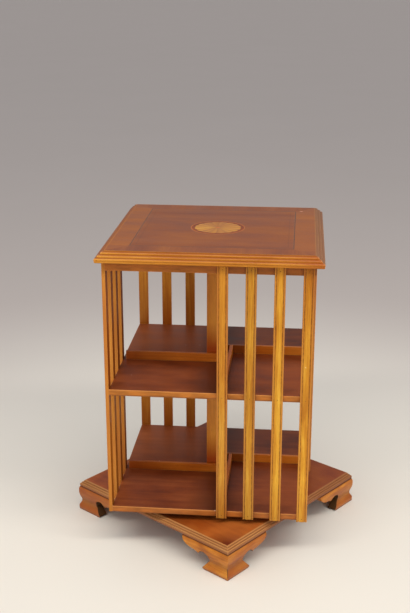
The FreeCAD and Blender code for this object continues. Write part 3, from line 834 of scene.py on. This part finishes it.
def paint_base():
    marks = [lit_and_shaded_field, red_by_corner, redder_right]
    paint("base_board", wood("base", turned(X, 0, base=True), Z, "base_board", *marks))
    for quarter, face in enumerate(FACES):
        out, side = turned(-Y, quarter, base=True), turned(X, quarter, base=True)
        node = f"base_moulding_{face}"
        paint(node, wood("edging", side, out, node, reeded(out), redder_right, grime_and_shade=0.4))
        # the right bracket of a foot lies on the next side of the base
        for hand, front, along in (("left", out, side), ("right", side, out)):
            node = f"foot_{face}_{hand}_bracket"
            marks = [bracketed(front, along, *BRACKET_REDNESS.get(node, USUAL_BRACKET_REDNESS))]
            if face == "front":
                marks.append(open_mitre(front, along))
            paint(node, wood("foot", along, front, node, *marks, wear_and_highlight=0))
    paint("foot_glue_blocks", wood("pine", Z, X, "foot_glue_blocks", wear_and_highlight=0))


def paint_metal():
    for name, (colour, roughness, nodes) in METALS.items():
        material = metal(name, colour, roughness)
        for node in nodes:
            paint(node, material)


# Inlay

def veneer(name, mesh, material, node):
    """Piece of the inlay, standing for a CAD node of the top."""
    bmesh.ops.recalc_face_normals(mesh, faces=mesh.faces)
    data = bpy.data.meshes.new(name)
    mesh.to_mesh(data)
    mesh.free()
    data.materials.append(material)
    piece = bpy.data.objects.new(name, data)
    bpy.context.scene.collection.objects.link(piece)
    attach(piece, "case")
    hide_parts(node)


def prism(outline):
    """Flat piece lying in its recess in the top."""
    mesh = bmesh.new()
    face = mesh.faces.new([mesh.verts.new((x, y, INLAY_SEAT)) for x, y in outline])
    raised = bmesh.ops.extrude_face_region(mesh, geom=[face])["geom"]
    tops = [part for part in raised if isinstance(part, bmesh.types.BMVert)]
    bmesh.ops.translate(mesh, verts=tops, vec=(0, 0, TOP_HEIGHT - INLAY_SEAT))
    return mesh


def polar(radius, angle):
    return (radius * math.cos(angle), radius * math.sin(angle))


def ring(inner, outer):
    """Flat ring lying in its recess in the top. Each edge is a function of the angle."""
    mesh = bmesh.new()
    steps = FAN_PETALS * PETAL_STEPS
    corners = ((inner, INLAY_SEAT), (outer, INLAY_SEAT), (outer, TOP_HEIGHT), (inner, TOP_HEIGHT))
    rows = []
    for reach, z in corners:
        angles = [2 * math.pi * i / steps for i in range(steps)]
        rows.append([mesh.verts.new(polar(reach(angle), angle) + (z,)) for angle in angles])
    for a, b in zip(rows, rows[1:] + rows[:1]):
        for i in range(steps):
            j = (i + 1) % steps
            mesh.faces.new((a[i], a[j], b[j], b[i]))
    return mesh


def crossbands():
    """Four mitred bands, their grain straight across."""
    outer, inner = CROSSBAND_OUTER, CROSSBAND_INNER
    corners = [(-outer, -outer), (outer, -outer), (inner, -inner), (-inner, -inner)]
    for quarter, face in enumerate(FACES):
        outline = [turned((x, y, 0), quarter).xy for x, y in corners]
        name = f"crossband_{face}"
        # a painted difference in sheen: the front and back bands take the darker top wood, the side
        # bands the lighter band wood
        kind = "band" if face in ("right", "left") else "top"
        band = wood(kind, turned(-Y, quarter), Z, name, marked(name), wear_and_highlight=0)
        veneer(name, prism(outline), band, "top_crossbands")


def petal_reach(angle):
    """Radius of the petals' outer ends, rounded back at their shoulders."""
    share = angle * FAN_PETALS / (2 * math.pi) % 1
    return FAN_RADIUS * (1 - PETAL_ROUNDING * (2 * share - 1) ** 4)


def petal_outline(start, step):
    """Wedge from the boss to a rounded outer end."""
    angles = [start + step * i / PETAL_STEPS for i in range(PETAL_STEPS + 1)]
    ends = [polar(petal_reach(angle), angle) for angle in angles]
    return [polar(FAN_BOSS_RADIUS, start + step), polar(FAN_BOSS_RADIUS, start)] + ends


def sand_shaded(start, step, axis):
    """Scorched along one side of a petal and at its point.

    A petal is painted duller where its grain runs from front to back: a painted sheen, brighter on the
    petals whose grain runs from side to side.
    """
    def treat(s, colour):
        angle = s.math("SUBTRACT", s.math("ARCTAN2", s.axes["Y"], s.axes["X"]), start)
        turn = s.math("FRACT", s.math("DIVIDE", angle, step))
        side = s.span(turn, 0.0, 0.65, 0.55, 0.0)
        point = s.span(s.from_spindle(), FAN_BOSS_RADIUS, 0.45 * FAN_RADIUS, 0.45, 0.0)
        colour = s.tinted(colour, TINTS["sand_shading"], s.math("MAXIMUM", side, point))
        # painted sheen: duller where the grain runs from front to back
        return s.tinted(colour, TINTS["petal_without_sheen"], 0.4 * abs(axis.y) + 0.25 * max(axis.y, 0))
    return treat


def fan():
    """Round fan inlay: sand-shaded petals round a boss, in a dark border with a pale line."""
    plain = {"wear_and_highlight": 0, "grime_and_shade": 0}
    step = 2 * math.pi / FAN_PETALS
    pieces = []
    for k in range(FAN_PETALS):
        axis = Vector(polar(1.0, (k + 0.5) * step) + (0.0,))
        name = f"fan_petal_{k + 1}"
        petal = wood("fan", axis, Z, name, sand_shaded(k * step, step, axis), **plain)
        pieces.append((name, prism(petal_outline(k * step, step)), petal))
    boss = [polar(FAN_BOSS_RADIUS, k * step) for k in range(FAN_PETALS)]
    border = ring(petal_reach, lambda angle: FAN_RING_RADIUS)
    line = ring(lambda angle: FAN_RING_RADIUS, lambda angle: PATERA_RADIUS)
    pieces += [
        ("fan_boss", prism(boss), wood("stop", X, Z, "fan_boss", **plain)),
        ("fan_border", border, wood("shelf", X, Z, "fan_border", **plain)),
        ("fan_line", line, wood("stop", X, Z, "fan_line", **plain)),
    ]
    for name, mesh, material in pieces:
        veneer(name, mesh, material, "top_patera")


# Studio

FLOOR_CLOUD_COLOUR = srgb(160, 150, 140)
FLOOR_CLOUD_CELLS = (1.3, 1.3, 1.3)
FLOOR_CLOUDING = 0.08


def floor_material():
    """Pale floor, slightly clouded, whose colour fades away from the spindle: a painted falloff of
    light.
    """
    s = Shader("studio_floor")
    near, far = FLOOR_FADE
    values = {"Value": s.from_spindle(), "From Min": near, "From Max": far}
    # painted falloff of light
    fade = s.add("MapRange", values, interpolation_type="SMOOTHSTEP")["Result"]
    colour = s.mix(fade, FLOOR_COLOUR + (1.0,), FAR_FLOOR_COLOUR + (1.0,))
    cloud = s.noise(s.place, FLOOR_CLOUD_CELLS, detail=3.0)
    colour = s.tinted(colour, FLOOR_CLOUD_COLOUR, FLOOR_CLOUDING, cloud)
    return s.finish({"Base Color": colour, "Roughness": 0.8, "Specular IOR Level": 0.2})


def floor():
    half = FLOOR_SIZE / 2
    corners = [(-half, -half, 0), (half, -half, 0), (half, half, 0), (-half, half, 0)]
    mesh = bpy.data.meshes.new("floor")
    mesh.from_pydata(corners, [], [(0, 1, 2, 3)])
    mesh.materials.append(floor_material())
    piece = bpy.data.objects.new("floor", mesh)
    bpy.context.scene.collection.objects.link(piece)


def world():
    """Soft light all round. Straight views and reflections see the far floor's colour instead."""
    sky = bpy.data.worlds.new("studio")
    sky.use_nodes = True
    bpy.context.scene.world = sky
    nodes, links = sky.node_tree.nodes, sky.node_tree.links
    nodes.clear()
    path = nodes.new("ShaderNodeLightPath")
    seen = nodes.new("ShaderNodeMath")
    seen.operation = "MAXIMUM"
    links.new(path.outputs["Is Camera Ray"], seen.inputs[0])
    links.new(path.outputs["Is Glossy Ray"], seen.inputs[1])
    light = nodes.new("ShaderNodeBackground")
    light.inputs["Color"].default_value = WORLD_COLOUR + (1.0,)
    light.inputs["Strength"].default_value = WORLD_LIGHT
    shown = nodes.new("ShaderNodeBackground")
    shown.inputs["Color"].default_value = BACKGROUND + (1.0,)
    mix = nodes.new("ShaderNodeMixShader")
    links.new(seen.outputs[0], mix.inputs[0])
    links.new(light.outputs[0], mix.inputs[1])
    links.new(shown.outputs[0], mix.inputs[2])
    links.new(mix.outputs[0], nodes.new("ShaderNodeOutputWorld").inputs["Surface"])


def area_light(name, place, size, watts):
    """Rectangular lamp that points at the bookcase, its width level."""
    data = bpy.data.lights.new(name, "AREA")
    data.shape = "RECTANGLE"
    data.size, data.size_y = size
    data.energy = watts
    data.color = LAMP_COLOUR
    lamp = bpy.data.objects.new(name, data)
    lamp.location = place
    lamp.rotation_euler = (Vector(LAMP_TARGET) - Vector(place)).to_track_quat("-Z", "Y").to_euler()
    bpy.context.scene.collection.objects.link(lamp)
    return lamp


def lights():
    """Long strip overhead in front, and a soft lamp on each side, which polish doesn't mirror."""
    area_light("strip", STRIP_PLACE, STRIP_SIZE, STRIP_WATTS)
    for name, (place, watts) in SOFT_LAMPS.items():
        area_light(name, place, SOFT_LAMP_SIZE, watts).visible_glossy = False


def camera():
    data = bpy.data.cameras.new("camera")
    data.lens = CAMERA_LENS
    eye = bpy.data.objects.new("camera", data)
    eye.location = CAMERA_PLACE
    eye.rotation_euler = (math.pi / 2 - CAMERA_PITCH, 0, CAMERA_YAW)
    bpy.context.scene.collection.objects.link(eye)
    bpy.context.scene.camera = eye


bpy.context.scene.view_settings.view_transform = "Standard"
camera()
floor()
world()
lights()
paint_boards()
paint_top()
paint_slats()
paint_stops()
paint_base()
paint_metal()
crossbands()
fan()
